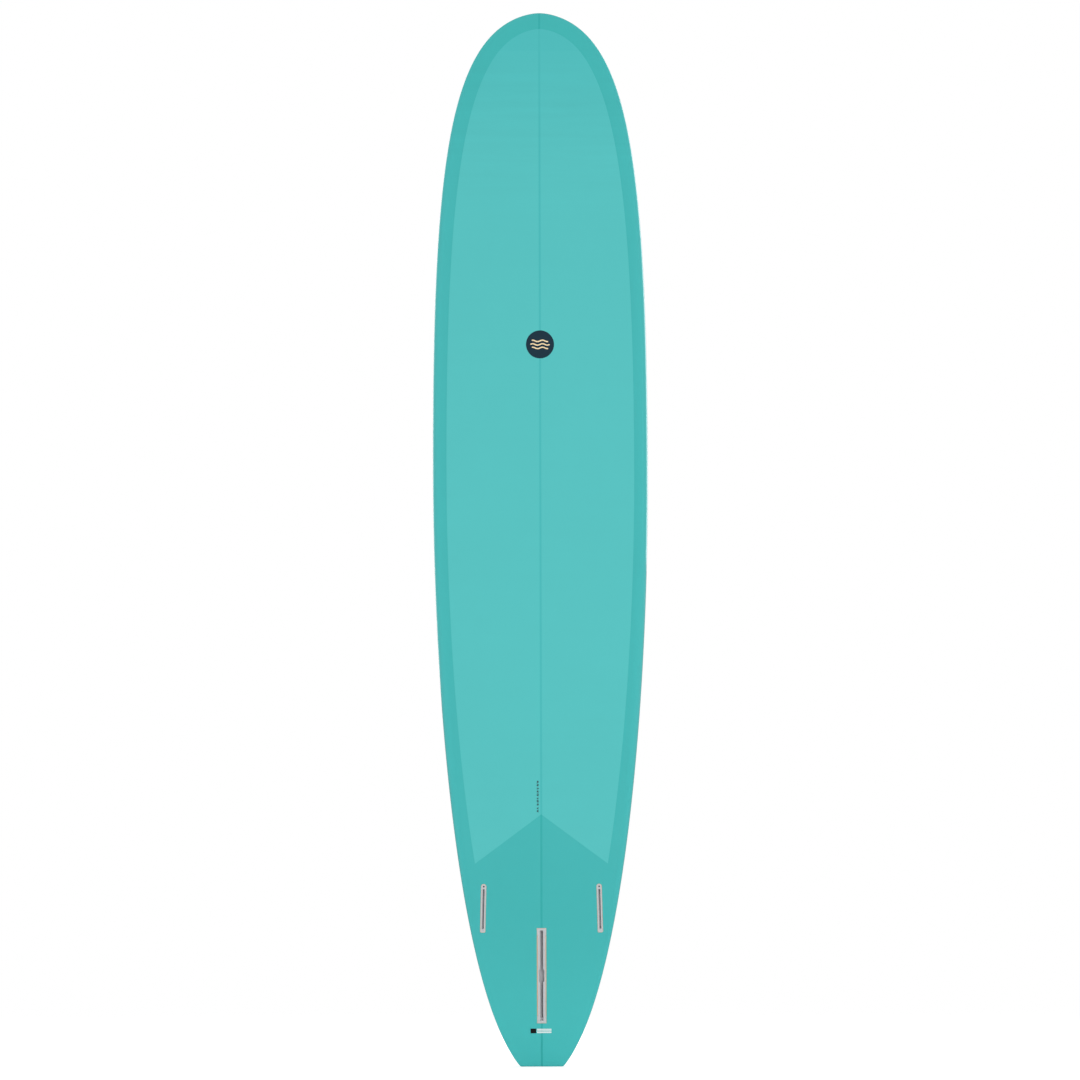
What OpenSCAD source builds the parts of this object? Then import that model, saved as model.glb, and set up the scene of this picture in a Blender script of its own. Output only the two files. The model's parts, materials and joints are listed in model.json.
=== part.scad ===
// A longboard surfboard: foam blank and wood stringer, tinted glass skins, three fin boxes and a leash plug.
// It stands on its square tail with the nose up. +Z runs to the nose, the bottom faces -Y and the deck +Y.
// The origin is the middle of the flat tail end. Left is -X and right is +X, looking at the bottom.

/* [Outline] */
// Length from the tail end to the nose tip
board_l = 2896; // [2860:4:2940]
// Width at the widest point
board_w = 591; // [580:1:600]
// Height of the widest point above the tail end
wide_z = 1634; // [1600:1:1660]
// How far the outline runs nearly straight below the widest point
tail_reach = 660; // [620:1:690]
// How far it runs nearly straight above the widest point
nose_reach = 1006; // [960:1:1050]
// Where the curve of the nose pulls to, out from the centre
nose_pull_x = 234; // [225:1:243]
// Where the curve of the nose pulls to, below the tip
nose_pull_depth = 54; // [45:1:63]
// How far out from the centre the round of the tip starts
nose_round = 61; // [54:1:68]
// Width of the square tail end, before its corners are rounded
tail_w = 118; // [112:1:124]
// Where the curve of the tail pulls to, out from the centre
tail_pull_x = 222; // [215:1:228]
// Where the curve of the tail pulls to, above the tail end
tail_pull_z = 195; // [185:1:205]
// Radius of the tail's two corners
tail_corner_r = 8; // [6:1:10]

/* [Rocker and thickness] */
// Height of the lowest point of the rocker above the tail end
low_z = 1350; // [1300:1:1400]
// How far the nose tip rises from the lowest point
nose_rocker = 115; // [100:1:130]
// How far the tail end rises from the lowest point
tail_rocker = 90; // [80:1:95]
// How late the rocker starts: a larger power keeps the middle flatter
rocker_power = 2.8; // [2.6:0.1:3]
// Greatest thickness, on the centreline
board_t = 79; // [76:1:84]
// Height of the thickest point above the tail end
thick_z = 1500; // [1450:1:1550]
// Thickness at the nose tip
nose_t = 20; // [18:1:24]
// Thickness at the tail end
tail_t = 18; // [17:1:20]
// How late the thickness falls off towards the nose
nose_foil_power = 2.75; // [2.6:0.05:3]
// How late the thickness falls off towards the tail
tail_foil_power = 3.5; // [3.4:0.1:3.7]
// Radius of the deck's crown, from rail to rail
crown_r = 2000; // [1800:50:2600]

/* [Rails] */
// Width of the round from the rail to the flat of the bottom, amidships
bottom_round_w = 34; // [30:1:36]
// The same round at the tail end, where the edge is hard
bottom_round_tail_w = 3; // [2.5:0.5:4]
// Width of the round from the rail to the crown of the deck, amidships
deck_round_w = 90; // [70:1:96]
// The same round at the tail end
deck_round_tail_w = 16; // [14:1:18]
// Height of the rail's outermost line, as a share of the thickness, amidships
rail_share = 0.42; // [0.38:0.01:0.46]
// The same share at the tail end
rail_tail_share = 0.17; // [0.16:0.01:0.2]
// Height of the flat face of the tail end
tail_face_h = 8; // [6:0.5:8]

/* [Blank and glass] */
// Thickness of the wood stringer
stringer_w = 4; // [3:0.5:5]
// Thickness of one layer of glass
ply_t = 0.5; // [0.4:0.05:0.6]
// Width of the deck glass's lap on the bottom, amidships
lap_w = 38; // [36:1:40]
// Width of that lap at the nose and towards the tail
lap_end_w = 44; // [42:1:46]
// Height of the tail patch's point above the tail end
patch_apex_z = 694; // [670:1:710]
// How far the patch's front edge falls for each millimetre out from the centre
patch_fall = 0.743; // [0.7:0.01:0.8]

/* [Centre fin box] */
// Height of the box's middle above the tail end
centre_box_z = 250; // [245:1:260]
// Length of the box
centre_box_l = 263; // [259:1:265]
// Width of the box between its end blocks
centre_box_w = 22.5; // [22:0.5:23.5]
// Width of its end blocks
centre_end_w = 24.5; // [24:0.5:26]
// Length of each end block
centre_end_l = 21; // [18:1:22]
// Depth of the box
centre_box_d = 25; // [23:0.5:25.5]
// Width of the fin slot
centre_slot_w = 8.2; // [7.8:0.1:8.6]
// Length of the fin slot
centre_slot_l = 251; // [244:1:252]
// Depth of the fin slot
centre_slot_d = 21; // [20:0.5:21]
// Width of the undercut channel that the fin's pin and plate run in
channel_w = 13.5; // [12:0.5:14]
// Depth at which that channel starts
channel_top = 10.5; // [10:0.5:11.5]
// Height of the channel
channel_h = 5; // [4.5:0.1:5.2]
// Width of the drop-in notch halfway along
notch_w = 14.6; // [14:0.1:15]
// Length of the notch
notch_l = 36; // [32:1:40]

/* [Side fin boxes] */
// Distance of each side box's middle from the centreline
side_box_x = 160; // [156:1:161]
// Height of its middle above the tail end
side_box_z = 436; // [432:1:450]
// Toe-in: the nose ends stand closer together
toe_in = 1.5; // [0:0.1:2]
// Length of a side box
side_box_l = 133; // [131:1:136]
// Width of a side box
side_box_w = 13.2; // [13:0.1:14]
// Depth of a side box
side_box_d = 19; // [18.5:0.5:20]
// Width of its slot
side_slot_w = 5.4; // [5.2:0.1:5.8]
// Length of its slot
side_slot_l = 110; // [106:1:110]
// Depth of its slot
side_slot_d = 14.5; // [14:0.5:15]
// Radius of its set screw
screw_r = 2.4; // [2.2:0.05:2.5]
// Length of its set screw
screw_l = 7; // [6.5:0.5:7]

/* [Leash plug] */
// Distance of the plug from the centreline
plug_x = 38; // [36:1:42]
// Height of the plug above the tail end
plug_z = 100; // [95:1:110]
// Outer radius of the cup
cup_r = 14; // [13.5:0.5:14.5]
// Depth of the cup
cup_d = 19; // [18:0.5:19]
// Wall of the cup
cup_wall = 3; // [2.5:0.5:3]
// Radius of the bar across the cup
bar_r = 2; // [1.8:0.1:2.2]

/* [Marks] */
// Height of the badge's middle above the tail end
badge_z = 1984; // [1950:1:2020]
// Radius of the badge
badge_r = 38.5; // [34:0.5:42]
// Height of the lowest pencil mark above the tail end
marks_z = 704; // [704:1:720]

/* [Hidden] */
$fn = 48;

panel_colour = [0.35, 0.77, 0.76];
band_colour = [0.285, 0.715, 0.712];
clear_glass_colour = [0.86, 0.92, 0.90];
foam_colour = [0.95, 0.94, 0.90];
wood_colour = [0.72, 0.55, 0.36];
box_colour = [0.77, 0.77, 0.78];
resin_colour = [0.84, 0.69, 0.53];
steel_colour = [0.62, 0.63, 0.65];
badge_colour = [0.14, 0.22, 0.27];
mark_colour = [0.16, 0.20, 0.22];

resin_t = 0.7;              // resin poured round every box and plug
over = 3;                   // how far a cut runs past the surface that it opens
running_gap = 0.05;         // radial clearance of a set screw in its hole
half_stringer = stringer_w / 2;

// Outline in plan, as [x, z]: two curves that meet at the widest point, each pulled along by its points, and
// a round at each corner of the tail
widest = [board_w / 2, wide_z];
tail_curve = [[tail_w / 2, 0], [tail_pull_x, tail_pull_z], widest - [0, tail_reach], widest];
nose_pull = [nose_pull_x, board_l - nose_pull_depth];
nose_curve = [widest, widest + [0, nose_reach], nose_pull, [nose_round, board_l], [0, board_l]];
corner_turn = atan2(tail_pull_z, tail_pull_x - tail_w / 2);
corner_centre = [tail_w / 2 - tail_corner_r * tan(corner_turn / 2), tail_corner_r];

function pulled(c, t) = [for (i = [0:len(c) - 2]) mix(c[i], c[i + 1], t)];
function curve_point(c, t) = len(c) == 1 ? c[0] : curve_point(pulled(c, t), t);
function curve_heading(c, t) = len(c) == 2 ? unit(c[1] - c[0]) : curve_heading(pulled(c, t), t);
function unit(v) = v / norm(v);
function right_of(heading) = [heading[1], -heading[0]];
function mix(a, b, t) = a + (b - a) * t;
function share(v, full) = min(1, v / full);

// Stations round the right half of the outline, from the middle of the tail end to the nose tip.
// A station is [point, outward direction, direction of its line towards the centreline, length of that line].
end_n = 3;
corner_n = 3;
tail_n = 15;
nose_n = 15;
nose_crowding = 0.4;        // above 0, stations stand closer by the widest point and further apart by the tip
tail_fan = 54;              // height of the tail end's fan of lines on the centreline
tail_fan_lean = 0.2;        // how much further out lines of that fan lean up
nose_fan = 150;             // depth of the nose's fan of lines
nose_fan_power = 3.5;

function line_end_z(p) =
    p[1] < wide_z
        ? p[1] + (tail_fan + tail_fan_lean * p[0]) * pow(1 - p[1] / wide_z, 2)
        : p[1] - nose_fan * pow((p[1] - wide_z) / (board_l - wide_z), nose_fan_power);
function station(p, out) =
    let (line = [half_stringer, line_end_z(p)] - p) [p, out, unit(line), norm(line)];
function curve_station(c, t) =
    let (p = curve_point(c, t)) station([max(p[0], half_stringer), p[1]], right_of(curve_heading(c, t)));

stations = concat(
    [for (k = [0:end_n]) station([mix(half_stringer, corner_centre[0], k / end_n), 0], [0, -1])],
    [for (k = [1:corner_n])
        let (a = corner_turn * k / corner_n - 90, out = [cos(a), sin(a)])
        station(corner_centre + tail_corner_r * out, out)],
    [for (k = [1:tail_n]) curve_station(tail_curve, k / tail_n)],
    [for (k = [1:nose_n]) let (t = k / nose_n) curve_station(nose_curve, mix(t, t * t, nose_crowding))]
);
last = len(stations) - 1;

// Rocker, foil and rail, as functions of the height z above the tail end
rail_full_z = 1200;         // above this the rails have their full width
round_full_z = 700;         // above this the deck's round has its full width
tail_face_fade_z = 60;      // the flat face of the tail end fades into the rails below this
rail_flat_h = 1;            // flat left on the rail's outermost line
nose_round_loss = 15;       // how much narrower the deck's round is at the nose tip
lap_even_z = 1650;          // height at which the lap is narrowest
lap_spread = 1100;          // distance over which it reaches its full end width

function rocker(z) =
    z > low_z
        ? nose_rocker * pow((z - low_z) / (board_l - low_z), rocker_power)
        : tail_rocker * pow((low_z - z) / low_z, rocker_power);
function foil(z) =
    z > thick_z
        ? board_t - (board_t - nose_t) * pow((z - thick_z) / (board_l - thick_z), nose_foil_power)
        : board_t - (board_t - tail_t) * pow((thick_z - z) / thick_z, tail_foil_power);
function rail_h(z) = mix(rail_tail_share, rail_share, share(z, rail_full_z)) * foil(z);
function rail_flat(z) = rail_flat_h + (tail_face_h - rail_flat_h) * pow(1 - share(z, tail_face_fade_z), 2);
function bottom_round(z) = mix(bottom_round_tail_w, bottom_round_w, share(z, rail_full_z));
function deck_round(z) =
    mix(deck_round_tail_w, deck_round_w, share(z, round_full_z))
    - nose_round_loss * pow(max(0, (z - wide_z) / (board_l - wide_z)), 2);
function lap(z) = mix(lap_w, lap_end_w, pow(share(abs(z - lap_even_z), lap_spread), 2));

bottom_at_tail = -rail_tail_share * tail_t - tail_face_h / 2;
function bottom_y(z) = rocker(z) - tail_rocker + bottom_at_tail;
function thickness(x, z) = foil(z) - x * x / (2 * crown_r);
function deck_y(x, z) = bottom_y(z) + thickness(x, z);
function bottom_slope(z) = (bottom_y(z + 1) - bottom_y(z - 1)) / 2;
function deck_slope(z) = (deck_y(0, z + 1) - deck_y(0, z - 1)) / 2;

// Columns of points along a station's line, numbered from the rail (0) to the centreline (columns).
// On the bottom they are the round, the edge of the lap, a midpoint and the centreline.
// On the deck they are the round, a midpoint and the centreline.
bottom_round_n = 4;
lap_column = bottom_round_n + 1;
columns = lap_column + 2;
deck_round_n = columns - 2;

function along(s, d) = s[0] + s[2] * (d / -(s[2] * s[1]));
function toward_centre(s, d, t) =
    let (from = along(s, d)) mix(from, s[0] + s[2] * s[3], t);

function bottom_point(s, column, depth) =
    let (
        z = s[0][1],
        turn = 90 * min(1, column / bottom_round_n),
        w = bottom_round(z) - depth,
        rail = rail_h(z),
        p = column <= bottom_round_n ? along(s, depth + w * (1 - cos(turn)))
            : toward_centre(s, lap(z), (column - lap_column) / (columns - lap_column))
    ) [p[0], bottom_y(p[1]) + rail - (rail - depth) * sin(turn), p[1]];
function deck_point(s, column, depth) =
    let (
        z = s[0][1],
        turn = 90 * min(1, column / deck_round_n),
        w = deck_round(z) - depth,
        rail = rail_h(z) + rail_flat(z),
        p = column <= deck_round_n ? along(s, depth + w * (1 - cos(turn)))
            : toward_centre(s, depth + w, (column - deck_round_n) / (columns - deck_round_n))
    ) [p[0], bottom_y(p[1]) + rail + (thickness(p[0], p[1]) - depth - rail) * sin(turn), p[1]];

// A path is a list of columns in order, each [on the deck, column]
function path_point(s, step, depth) =
    step[0] ? deck_point(s, step[1], depth) : bottom_point(s, step[1], depth);
function deck_path(from, to) = [for (c = [from:(to > from ? 1 : -1):to]) [true, c]];
function bottom_path(from, to) = [for (c = [from:(to > from ? 1 : -1):to]) [false, c]];

// One layer over the whole board, between two depths. Its path runs from its open edge to the centreline.
// Stations go up the right half and down the left one, so that the layer closes on itself at both ends.
function mirrored(p) = [-p[0], p[1], p[2]];
function ring(path, depth) = concat(
    [for (i = [0:last]) for (step = path) path_point(stations[i], step, depth)],
    [for (i = [last:-1:0]) for (step = path) mirrored(path_point(stations[i], step, depth))]
);
// Two triangles for the square a, b, c, d, split from a to c or from b to d
function split(a, b, c, d, first) = first ? [[a, b, c], [a, c, d]] : [[a, b, d], [b, c, d]];
function turned(faces) = [for (f = faces) [f[2], f[1], f[0]]];

// Neighbouring layers split each square along the same line, so that they meet face to face
function sheet_faces(n, start, deck_side) =
    let (
        around = 2 * last + 2,
        at = function (i, j) start + (i % around) * n + j,
        skin = [for (i = [0:around - 1]) for (j = [0:n - 2])
            each split(at(i, j), at(i, j + 1), at(i + 1, j + 1), at(i + 1, j), (i <= last) == deck_side)],
        middle = [for (i = [0:last - 1]) let (left = around - 1 - i)
            each split(at(i, n - 1), at(left, n - 1), at(left - 1, n - 1), at(i + 1, n - 1), true)]
    ) concat(skin, middle);
module layer(path, outer, inner, deck_side) {
    n = len(path);
    around = 2 * last + 2;
    size = around * n;
    faces_out = sheet_faces(n, 0, deck_side);
    faces_in = sheet_faces(n, size, deck_side);
    rim = [for (i = [0:around - 1])
        let (next = (i + 1) % around) each split(i * n, next * n, size + next * n, size + i * n, true)];
    all_faces = concat(faces_out, turned(faces_in), rim);
    polyhedron(
        points = concat(ring(path, outer), ring(path, inner)),
        faces = deck_side ? turned(all_faces) : all_faces
    );
}

// Places a child on the bottom: its Y runs into the board, its Z along the bottom towards the nose
module on_bottom(x, z) {
    translate([x, bottom_y(z), z]) rotate([-atan(bottom_slope(z)), 0, 0]) children();
}
// Places a child on the deck: its Y runs out of the board
module on_deck(x, z) {
    translate([x, deck_y(x, z), z]) rotate([-atan(deck_slope(z)), 0, -atan(x / crown_r)]) children();
}
// Sinks a flat shape, drawn as [x, z], from one depth to another
module sink(from, to) {
    translate([0, to, 0]) rotate([90, 0, 0]) linear_extrude(to - from) children();
}
module slab(w, l) {
    square([w, l], center = true);
}
// Everything outside the bottom in the tail, so that boxes finish flush with it
trim_low_z = 60;
trim_high_z = 620;
trim_step = 20;
trim_out = 60;
module outside_bottom() {
    surface = [for (z = [trim_low_z:trim_step:trim_high_z]) [z, bottom_y(z)]];
    far_y = bottom_y(trim_high_z) - trim_out;
    rotate([0, -90, 0]) linear_extrude(board_w, center = true)
        polygon(concat(surface, [[trim_high_z, far_y], [trim_low_z, far_y]]));
}

// Centre fin box
module centre_plan(grow) {
    slab(centre_box_w + 2 * grow, centre_box_l + 2 * grow - 1);
    for (s = [-1, 1]) translate([0, s * (centre_box_l - centre_end_l) / 2])
        slab(centre_end_w + 2 * grow, centre_end_l + 2 * grow);
}
module centre_pocket() {
    on_bottom(0, centre_box_z) sink(-over, centre_box_d + resin_t)
        slab(centre_end_w + 2 * resin_t, centre_box_l + 2 * resin_t);
}
nick = 1.2;                 // the small step cut into each side where an end block meets the body
notch_taper = 2;            // length of the notch's slanted ends
shelf_l = 8;                // the shallower shelf in the slot's tail end
shelf_d = 12;
module centre_slot_plan() {
    slab(centre_slot_w, centre_slot_l);
}
module notch_plan() {
    polygon([for (sx = [-1, 1]) for (k = [0:3])
        let (sz = k < 2 ? -sx : sx, tip = k == 0 || k == 3)
        [sx * (tip ? centre_slot_w : notch_w) / 2, sz * (notch_l / 2 - (tip ? 0 : notch_taper))]]);
}
module centre_fin_box() {
    color(box_colour) difference() {
        on_bottom(0, centre_box_z) difference() {
            sink(-over, centre_box_d) centre_plan(0);
            sink(-2 * over, centre_slot_d) difference() {
                centre_slot_plan();
                translate([0, (shelf_l - centre_slot_l) / 2]) slab(centre_slot_w, shelf_l);
            }
            sink(-2 * over, shelf_d) centre_slot_plan();
            sink(channel_top, channel_top + channel_h) translate([0, shelf_l / 2])
                slab(channel_w, centre_slot_l - shelf_l);
            sink(-2 * over, channel_top + channel_h / 2) notch_plan();
            for (sx = [-1, 1]) for (sz = [-1, 1])
                translate([sx * centre_end_w / 2, 0, sz * (centre_box_l / 2 - centre_end_l)])
                    rotate([0, 45, 0]) translate([-nick, -2 * over, -nick])
                        cube([2 * nick, centre_box_d, 2 * nick]);
        }
        outside_bottom();
    }
}
module centre_box_resin() {
    color(resin_colour) difference() {
        centre_pocket();
        on_bottom(0, centre_box_z) sink(-2 * over, centre_box_d) centre_plan(0);
        outside_bottom();
    }
}

// Side fin boxes, drawn on the right
side_tail_r = 3;            // round of the box's tail corners
screw_from_end = side_box_w / 2;
screw_below = 1.2;          // the screw's head lies this far under the surface
slot_tail_wall = 9;         // solid length behind the slot
tab_top = 9;                // the slot runs on under the screw from this depth
tab_l = 11;                 // and for this length
dimple_r = 1.6;             // moulded dimple behind the slot
dimple_d = 1;
dimple_from_end = 5.5;
hex_across = 2.5;           // hex socket of the set screw, across flats
hex_d = 3;
module on_side() {
    on_bottom(side_box_x, side_box_z) rotate([0, -toe_in, 0]) children();
}
module side_plan(grow) {
    w = side_box_w + 2 * grow;
    r = side_tail_r + grow;
    tail = -side_box_l / 2 - grow;
    nose = side_box_l / 2 + grow - w / 2;
    translate([-w / 2, tail + r]) square([w, nose - tail - r]);
    translate([0, nose]) circle(w / 2);
    translate([r - w / 2, tail]) square([w - 2 * r, 2 * r]);
    for (s = [-1, 1]) translate([s * (w / 2 - r), tail + r]) circle(r);
}
module side_slot_plan() {
    translate([-side_slot_w / 2, slot_tail_wall - side_box_l / 2]) square([side_slot_w, side_slot_l]);
}
module side_pocket() {
    on_side() sink(-over, side_box_d + resin_t) side_plan(resin_t);
}
module side_box() {
    color(box_colour) difference() {
        on_side() difference() {
            sink(-over, side_box_d) side_plan(0);
            sink(-2 * over, side_slot_d) side_slot_plan();
            sink(tab_top, side_slot_d) translate([0, tab_l]) side_slot_plan();
            translate([0, 0, side_box_l / 2 - screw_from_end]) sink(-2 * over, tab_top + 1)
                circle(screw_r + running_gap);
            translate([0, 0, dimple_from_end - side_box_l / 2]) sink(-2 * over, dimple_d) circle(dimple_r);
        }
        outside_bottom();
    }
}
module side_resin() {
    color(resin_colour) difference() {
        side_pocket();
        on_side() sink(-2 * over, side_box_d) side_plan(0);
        outside_bottom();
    }
}
module side_screw() {
    color(steel_colour) on_side() translate([0, 0, side_box_l / 2 - screw_from_end]) difference() {
        sink(screw_below, screw_below + screw_l) circle(screw_r);
        sink(0, screw_below + hex_d) circle(hex_across / sqrt(3), $fn = 6);
    }
}
module both_pockets() {
    side_pocket();
    mirror([1, 0, 0]) side_pocket();
}

// Leash plug
cup_floor = 3;
bar_depth = 6;              // depth of the bar's middle under the deck
module plug_pocket() {
    on_deck(plug_x, plug_z) sink(-cup_d - resin_t, over) circle(cup_r + resin_t);
}
module bar_solid() {
    translate([0, -bar_depth, 0]) rotate([0, 90, 0])
        cylinder(r = bar_r, h = 2 * cup_r - cup_wall, center = true);
}
module leash_plug_cup() {
    color(box_colour) on_deck(plug_x, plug_z) difference() {
        sink(-cup_d, 0) circle(cup_r);
        sink(cup_floor - cup_d, over) circle(cup_r - cup_wall);
        bar_solid();
    }
}
module leash_plug_bar() {
    color(steel_colour) on_deck(plug_x, plug_z) bar_solid();
}
module leash_plug_resin() {
    color(resin_colour) on_deck(plug_x, plug_z) difference() {
        sink(-cup_d - resin_t, 0) circle(cup_r + resin_t);
        sink(-cup_d, over) circle(cup_r);
    }
}

// Blank, stringer and glass
foam_depth = 2 * ply_t;
foam_path = concat(bottom_path(columns, 0), deck_path(0, columns));
module foam_half() {
    n = len(foam_path);
    at = function (i, j) i * n + j;
    skin = [for (i = [0:last - 1]) for (j = [0:n - 2])
        each split(at(i, j), at(i, j + 1), at(i + 1, j + 1), at(i + 1, j), true)];
    centre = [for (i = [0:last - 1])
        each split(at(i, n - 1), at(i, 0), at(i + 1, 0), at(i + 1, n - 1), true)];
    tail_end = [for (j = [0:columns - 1])
        each split(at(0, j), at(0, n - 1 - j), at(0, n - 2 - j), at(0, j + 1), true)];
    nose_end = [for (j = [0:columns - 1])
        each split(at(last, j), at(last, j + 1), at(last, n - 2 - j), at(last, n - 1 - j), true)];
    polyhedron(
        points = [for (s = stations) for (step = foam_path) path_point(s, step, foam_depth)],
        faces = turned(concat(skin, centre, tail_end, nose_end))
    );
}
module foam_right() {
    color(foam_colour) difference() {
        foam_half();
        side_pocket();
        centre_pocket();
        plug_pocket();
    }
}
module foam_left() {
    color(foam_colour) difference() {
        mirror([1, 0, 0]) foam_half();
        mirror([1, 0, 0]) side_pocket();
        centre_pocket();
    }
}
function profile(path, s) = [for (step = path) let (p = path_point(s, step, foam_depth)) [p[2], p[1]]];
module stringer() {
    bottom_line = concat(
        profile(bottom_path(0, columns), stations[0]),
        [for (i = [1:last - 1]) each profile([[false, columns]], stations[i])],
        profile(bottom_path(columns, 0), stations[last])
    );
    deck_line = concat(
        profile(deck_path(0, columns), stations[last]),
        [for (i = [last - 1:-1:1]) each profile([[true, columns]], stations[i])],
        profile(deck_path(columns, 0), stations[0])
    );
    color(wood_colour) difference() {
        rotate([0, -90, 0]) linear_extrude(stringer_w, center = true) polygon(concat(bottom_line, deck_line));
        centre_pocket();
    }
}
badge_t = 0.4;
badge_sunk = 0.2;
module badge_place() {
    on_bottom(0, badge_z) sink(ply_t + badge_sunk - badge_t, ply_t + badge_sunk) circle(badge_r);
}
module bottom_glass() {
    color(panel_colour) difference() {
        layer(concat(deck_path(deck_round_n, 0), bottom_path(0, columns)), ply_t, foam_depth, false);
        both_pockets();
        centre_pocket();
        badge_place();
    }
}
module deck_glass() {
    color(band_colour) difference() {
        layer(concat(bottom_path(lap_column, 0), deck_path(0, columns)), 0, ply_t, true);
        both_pockets();
        plug_pocket();
    }
}
module deck_inlay() {
    color(clear_glass_colour) difference() {
        layer(deck_path(deck_round_n, columns), ply_t, foam_depth, true);
        plug_pocket();
    }
}
module patch_plan() {
    half = board_w / 2;
    polygon([[0, patch_apex_z], [half, patch_apex_z - patch_fall * half], [half, -over],
        [-half, -over], [-half, patch_apex_z - patch_fall * half]]);
}
module tail_patch() {
    color(band_colour) difference() {
        intersection() {
            layer(bottom_path(lap_column, columns), 0, ply_t, false);
            translate([0, -tail_rocker, 0]) rotate([90, 0, 0])
                linear_extrude(4 * tail_rocker, center = true) patch_plan();
        }
        both_pockets();
        centre_pocket();
    }
}

// Printed badge under the glass, and pencil marks
module badge() {
    color(badge_colour) badge_place();
}
mark_x = -9.5;              // distance of the marks from the centreline
mark_t = 0.15;
mark_n = 14;
mark_pitch = 6;
mark_w = [6, 4, 7, 5];      // lengths of the strokes, in turn
mark_stroke = 1.4;
module dimension_marks() {
    color(mark_colour) for (k = [0:mark_n - 1])
        on_bottom(mark_x, marks_z + k * mark_pitch) sink(ply_t - mark_t, ply_t)
            slab(mark_w[k % len(mark_w)], mark_stroke);
}

module side_fin_box_right() { side_box(); }
module side_fin_box_left() { mirror([1, 0, 0]) side_box(); }
module side_box_resin_right() { side_resin(); }
module side_box_resin_left() { mirror([1, 0, 0]) side_resin(); }
module side_box_screw_right() { side_screw(); }
module side_box_screw_left() { mirror([1, 0, 0]) side_screw(); }

foam_left();
foam_right();
stringer();
bottom_glass();
deck_glass();
deck_inlay();
tail_patch();
centre_fin_box();
centre_box_resin();
side_fin_box_left();
side_fin_box_right();
side_box_resin_left();
side_box_resin_right();
side_box_screw_left();
side_box_screw_right();
leash_plug_cup();
leash_plug_bar();
leash_plug_resin();
badge();
dimension_marks();
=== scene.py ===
"""A longboard surfboard seen from its underside, nose up: tinted glass over a foam blank, with its fin boxes.

Metres, in the CAD's own frame: +Z runs to the nose, the bottom faces -Y and the deck +Y.
"""

import json
import math
import random

import bmesh
import bpy
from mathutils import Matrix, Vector


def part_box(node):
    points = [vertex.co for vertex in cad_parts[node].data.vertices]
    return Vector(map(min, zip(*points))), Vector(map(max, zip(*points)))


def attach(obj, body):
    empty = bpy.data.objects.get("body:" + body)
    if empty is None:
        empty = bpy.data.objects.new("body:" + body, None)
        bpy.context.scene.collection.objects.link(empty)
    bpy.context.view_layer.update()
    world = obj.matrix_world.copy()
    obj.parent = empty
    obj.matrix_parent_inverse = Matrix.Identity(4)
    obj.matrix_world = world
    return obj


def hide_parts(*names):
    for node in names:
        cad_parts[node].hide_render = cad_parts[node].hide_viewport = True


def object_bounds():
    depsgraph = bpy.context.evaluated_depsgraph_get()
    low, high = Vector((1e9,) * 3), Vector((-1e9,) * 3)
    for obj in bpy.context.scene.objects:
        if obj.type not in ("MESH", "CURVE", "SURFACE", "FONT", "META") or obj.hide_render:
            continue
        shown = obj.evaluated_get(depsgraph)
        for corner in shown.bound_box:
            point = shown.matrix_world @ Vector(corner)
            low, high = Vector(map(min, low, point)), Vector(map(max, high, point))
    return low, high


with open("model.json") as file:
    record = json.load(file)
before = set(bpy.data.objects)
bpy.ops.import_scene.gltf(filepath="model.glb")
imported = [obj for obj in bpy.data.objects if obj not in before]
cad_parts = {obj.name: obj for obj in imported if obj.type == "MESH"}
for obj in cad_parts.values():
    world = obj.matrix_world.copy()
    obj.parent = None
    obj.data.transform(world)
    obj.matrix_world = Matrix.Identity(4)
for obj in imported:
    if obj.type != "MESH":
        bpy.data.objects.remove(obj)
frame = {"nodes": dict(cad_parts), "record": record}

CAD_LOW, CAD_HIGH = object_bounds()
NODES = frame["nodes"]
MOUNTS = {m["name"]: m for m in frame["record"]["mounts"]}
MM = 0.001

# ---------------------------------------------------------------- the board's surface, as the CAD shapes it

BOARD_L = CAD_HIGH.z
HALF_W = CAD_HIGH.x
HALF_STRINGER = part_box("stringer")[1].x
WIDE_Z = 1.634
LOW_Z = 1.350
THICK_Z = 1.500
NOSE_ROCKER = 0.115
TAIL_ROCKER = 0.090
ROCKER_POWER = 2.8
BOARD_T = 0.079
NOSE_T = 0.020
TAIL_T = 0.018
NOSE_FOIL_POWER = 2.75
TAIL_FOIL_POWER = 3.5
CROWN_R = 2.0

HALF_TAIL = 0.059
TAIL_PULL = Vector((0.222, 0.195))
TAIL_REACH = 0.660
NOSE_REACH = 1.006
NOSE_PULL = Vector((0.234, BOARD_L - 0.054))
NOSE_ROUND = 0.061
CORNER_R = 0.008

BOTTOM_ROUND = (0.003, 0.034)       # width of the rail's round at the tail end and amidships
DECK_ROUND = (0.016, 0.090)
DECK_ROUND_NOSE_LOSS = 0.015
RAIL_SHARE = (0.17, 0.42)
RAIL_FULL_Z = 1.2
ROUND_FULL_Z = 0.7
TAIL_FACE_H = 0.008
TAIL_FACE_FADE_Z = 0.06
RAIL_FLAT_H = 0.001
LAP = (0.038, 0.044)                # width of the lap where it is narrowest and widest
LAP_EVEN_Z = 1.65
LAP_SPREAD = 1.1
TAIL_FAN = 0.054
TAIL_FAN_LEAN = 0.2
NOSE_FAN = 0.150
NOSE_FAN_POWER = 3.5
PATCH_APEX_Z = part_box("tail_patch")[1].z
PATCH_FALL = 0.743
PATCH_SPARE = 0.01                  # how far the solid that trims the patch reaches past the board

PLY = 0.5 * MM
STEP = 0.12 * MM                    # the panel lies this far below the lap and the patch, under the gloss

# How finely the smooth skins are drawn
END_N, CORNER_N, TAIL_N, NOSE_N = 10, 8, 84, 90
NOSE_CROWDING = 0.4
BOTTOM_ROUND_N, LAP_N, PANEL_N = 12, 4, 12
DECK_ROUND_N, DECK_N = 18, 14


def lerp(a, b, t):
    return a + (b - a) * t


def share(v, full):
    return min(1.0, v / full)


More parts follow.
